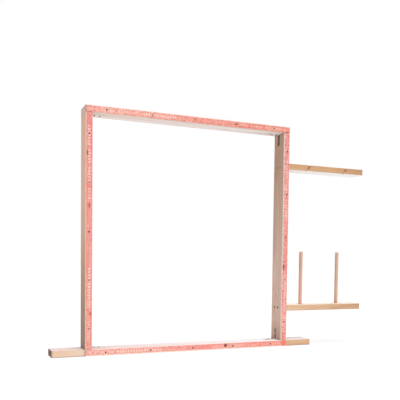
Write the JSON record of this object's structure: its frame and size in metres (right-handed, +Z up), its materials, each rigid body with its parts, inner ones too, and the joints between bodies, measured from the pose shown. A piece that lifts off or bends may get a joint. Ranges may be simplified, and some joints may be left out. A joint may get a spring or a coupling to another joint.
{
  "type": "tufting frame",
  "caption": "Free-standing wooden frame with pinned gripper strips round its front for stretching backing cloth, clamping feet, and side arms with yarn pegs and a slotted yarn guide.",
  "frame": {"origin": "middle of the bottom rail's underside, which rests on the table", "axes": "+X along the rails towards the yarn arms, +Y from the pinned front to the back, +Z up"},
  "size_m": [1.427, 0.0848, 0.952],
  "materials": {
    "pine": "planed softwood, bare",
    "peg_wood": "turned hardwood rod, bare",
    "printed_ply": "thin wood strip with a matt pink printed face",
    "zinc_steel": "bright zinc plated",
    "nail_steel": "plain wire nail steel"
  },
  "bodies": {
    "frame": {"bottom_rail": "pine", "top_rail": "pine", "left_stile": "pine", "right_stile": "pine", "lower_arm": "pine", "upper_arm": "pine", "top_gripper_strip": "printed_ply", "top_strip_nail_1": "nail_steel", "top_strip_nail_2": "nail_steel", "top_strip_nail_3": "nail_steel", "top_strip_nail_4": "nail_steel", "top_strip_nail_5": "nail_steel", "bottom_gripper_strip": "printed_ply", "bottom_strip_nail_1": "nail_steel", "bottom_strip_nail_2": "nail_steel", "bottom_strip_nail_3": "nail_steel", "bottom_strip_nail_4": "nail_steel", "bottom_strip_nail_5": "nail_steel", "left_gripper_strip": "printed_ply", "left_strip_nail_1": "nail_steel", "left_strip_nail_2": "nail_steel", "left_strip_nail_3": "nail_steel", "left_strip_nail_4": "nail_steel", "left_strip_nail_5": "nail_steel", "right_gripper_strip": "printed_ply", "right_strip_nail_1": "nail_steel", "right_strip_nail_2": "nail_steel", "right_strip_nail_3": "nail_steel", "right_strip_nail_4": "nail_steel", "right_strip_nail_5": "nail_steel", "bottom_left_bracket": "zinc_steel", "bottom_left_bracket_screw_1": "zinc_steel", "bottom_left_bracket_screw_2": "zinc_steel", "bottom_left_bracket_screw_3": "zinc_steel", "bottom_left_bracket_screw_4": "zinc_steel", "bottom_right_bracket": "zinc_steel", "bottom_right_bracket_screw_1": "zinc_steel", "bottom_right_bracket_screw_2": "zinc_steel", "bottom_right_bracket_screw_3": "zinc_steel", "bottom_right_bracket_screw_4": "zinc_steel", "top_right_bracket": "zinc_steel", "top_right_bracket_screw_1": "zinc_steel", "top_right_bracket_screw_2": "zinc_steel", "top_right_bracket_screw_3": "zinc_steel", "top_right_bracket_screw_4": "zinc_steel", "top_left_bracket": "zinc_steel", "top_left_bracket_screw_1": "zinc_steel", "top_left_bracket_screw_2": "zinc_steel", "top_left_bracket_screw_3": "zinc_steel", "top_left_bracket_screw_4": "zinc_steel", "lower_arm_screw_1": "zinc_steel", "lower_arm_screw_2": "zinc_steel", "upper_arm_screw_1": "zinc_steel", "upper_arm_screw_2": "zinc_steel"},
    "inner_peg": {"inner_yarn_peg": "peg_wood"},
    "outer_peg": {"outer_yarn_peg": "peg_wood"}
  },
  "joints": [
    {"name": "inner_peg_lift", "type": "slide", "parent": "frame", "child": "inner_peg", "axis": [0, 0, 1], "range_m": [0, 0.015]},
    {"name": "outer_peg_lift", "type": "slide", "parent": "frame", "child": "outer_peg", "axis": [0, 0, 1], "range_m": [0, 0.015]}
  ]
}
